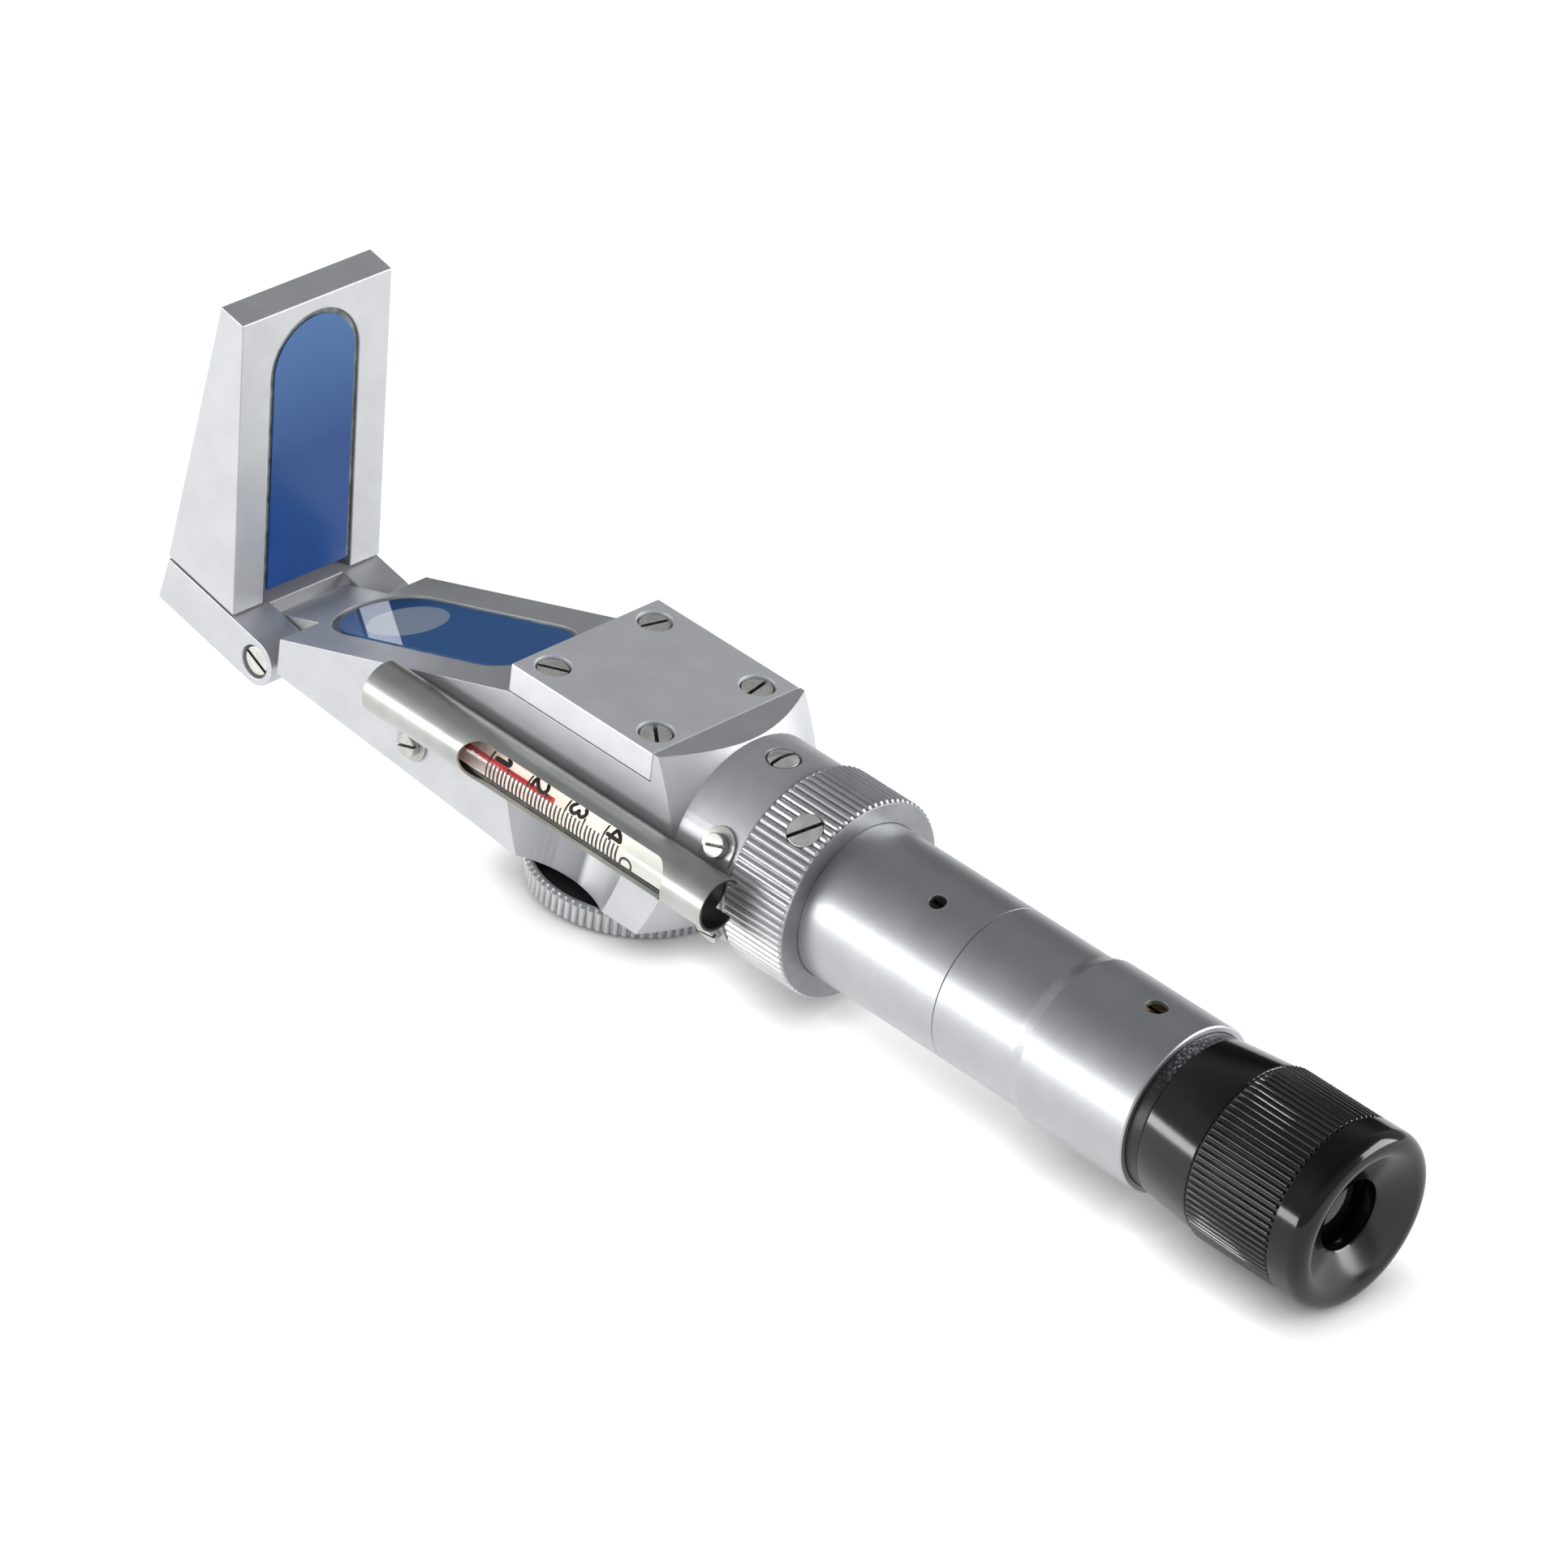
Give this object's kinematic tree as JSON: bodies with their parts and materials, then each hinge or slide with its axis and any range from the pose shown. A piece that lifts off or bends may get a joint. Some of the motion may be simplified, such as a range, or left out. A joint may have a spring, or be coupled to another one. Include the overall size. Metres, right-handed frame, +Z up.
{
  "type": "analog refractometer",
  "caption": "Hand-held optical refractometer with a hinged prism lid, side thermometer, fluted dispersion ring, thumb wheel and focusing eyepiece.",
  "frame": {"origin": "bottom centre of the bounding box with the lid open as shown", "axes": "+X along the telescope towards the eye, +Z up, -Y the side with the thermometer"},
  "size_m": [0.2672, 0.0469, 0.073],
  "materials": {
    "satin_aluminium": "bead-blasted and satin anodised",
    "prism_glass": "polished, blue tinted",
    "cement": "matt greenish grey putty",
    "clear_glass": "polished, clear",
    "coated_glass": "polished, bluish coating",
    "opal_pane": "opal, fine ground",
    "nickel_screws": "nickel plated, turned",
    "brushed_sheet": "brushed along its length",
    "packing": "matt",
    "scale_card": "smooth cream card with printed marks",
    "red_spirit": "coloured spirit",
    "black_anodised": "matt black anodised",
    "black_steel": "black oxide",
    "brass": "turned",
    "black_turned": "black anodised, satin, turned",
    "black_gloss": "glossy, fine turned"
  },
  "bodies": {
    "instrument": {"prism_body": "satin_aluminium", "cover_plate": "satin_aluminium", "plate_screws": "nickel_screws", "measuring_prism": "prism_glass", "prism_cement": "cement", "hinge_pins": "nickel_screws", "neck_screw": "nickel_screws", "thermometer_holder": "brushed_sheet", "holder_screws": "nickel_screws", "thermometer_glass": "clear_glass", "thermometer_packing": "packing", "scale_strip": "scale_card", "liquid_column": "red_spirit", "front_tube": "satin_aluminium", "rear_tube": "satin_aluminium", "set_screws": "black_steel", "objective_cell": "black_anodised", "objective_lens": "clear_glass", "reticle_cell": "black_anodised", "reticle": "clear_glass", "guide_screw": "brass", "wheel_pivot": "nickel_screws"},
    "lid": {"lid_housing": "satin_aluminium", "lid_prism": "prism_glass", "lid_cement": "cement", "light_window": "opal_pane", "hinge_fork": "satin_aluminium", "fork_screws": "nickel_screws"},
    "compensator": {"compensator_ring": "satin_aluminium", "ring_screw": "nickel_screws", "compensator_cell": "black_anodised", "compensator_prisms": "clear_glass"},
    "lens_slide": {"lens_carrier": "black_anodised", "field_lens": "clear_glass", "eye_lens": "coated_glass", "lens_retainer": "black_anodised"},
    "eyepiece": {"eyepiece_barrel": "black_turned", "focus_grip": "black_turned", "eyecup": "black_gloss"},
    "scale_wheel": {"thumb_wheel": "satin_aluminium", "wheel_disc": "black_anodised"}
  },
  "joints": [
    {"name": "lid_hinge", "type": "hinge", "parent": "instrument", "child": "lid", "pos_m": [-0.10853, 0.00385, 0.0087], "axis": [0, -1, 0], "range_deg": [-75.2, 12]},
    {"name": "compensator_turn", "type": "hinge", "parent": "instrument", "child": "compensator", "pos_m": [0.01322, 0.00385, 0.02263], "axis": [1, 0, 0], "range_deg": [-60, 60]},
    {"name": "wheel_turn", "type": "hinge", "parent": "instrument", "child": "scale_wheel", "pos_m": [-0.02988, 0.00385, 0.00263], "axis": [0, 0, 1], "continuous": true},
    {"name": "focus_travel", "type": "slide", "parent": "instrument", "child": "lens_slide", "axis": [1, 0, 0], "range_m": [-0.0015, 0.00283]},
    {"name": "focus_turn", "type": "hinge", "parent": "lens_slide", "child": "eyepiece", "pos_m": [0.11222, 0.00385, 0.02263], "axis": [1, 0, 0], "range_deg": [-90, 169.9]}
  ],
  "couplings": [
    {"joint": "focus_travel", "follows": "focus_turn", "m_per_rad": 0.00095493}
  ]
}
